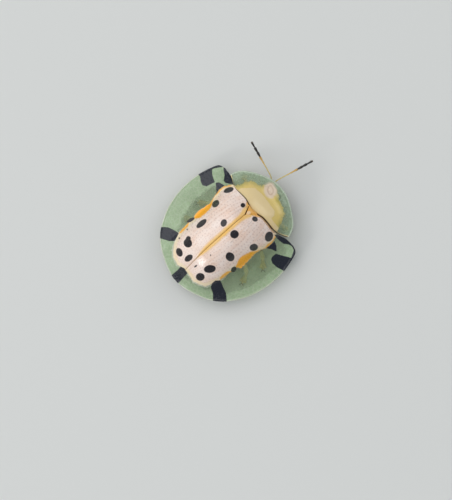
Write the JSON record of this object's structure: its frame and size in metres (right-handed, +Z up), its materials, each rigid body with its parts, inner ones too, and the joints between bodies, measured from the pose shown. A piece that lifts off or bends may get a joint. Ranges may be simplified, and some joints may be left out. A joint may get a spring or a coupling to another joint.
{
  "type": "tortoise beetle",
  "caption": "Life-size sweet potato leaf beetle: a round, domed shell with a wide clear brim, dark spots, a shield over the head, slim feelers and legs standing on the floor.",
  "frame": {"origin": "on the floor, under the middle of the whole beetle's box, feelers included", "axes": "+Y the way the beetle faces, +X its right side, +Z up"},
  "size_m": [0.013, 0.0182, 0.0055],
  "materials": {
    "wing_cover": "glossy cream shell; its clear brim and dark spots are in the visual model",
    "shield": "glossy amber yellow shell; its clear brim is in the visual model",
    "body_plate": "satin ochre body plates and legs",
    "eye": "glossy black",
    "feeler": "satin yellow, with a black club in the visual model"
  },
  "bodies": {
    "root": {"wing_cover_left": "wing_cover", "wing_cover_right": "wing_cover", "shield": "shield", "scutellum": "body_plate", "prothorax": "body_plate", "thorax": "body_plate", "abdomen": "body_plate", "head": "body_plate", "eye_left": "eye", "eye_right": "eye", "antenna_left": "feeler", "antenna_right": "feeler", "leg_front_left": "body_plate", "leg_front_right": "body_plate", "leg_middle_left": "body_plate", "leg_middle_right": "body_plate", "leg_hind_left": "body_plate", "leg_hind_right": "body_plate"}
  },
  "joints": []
}
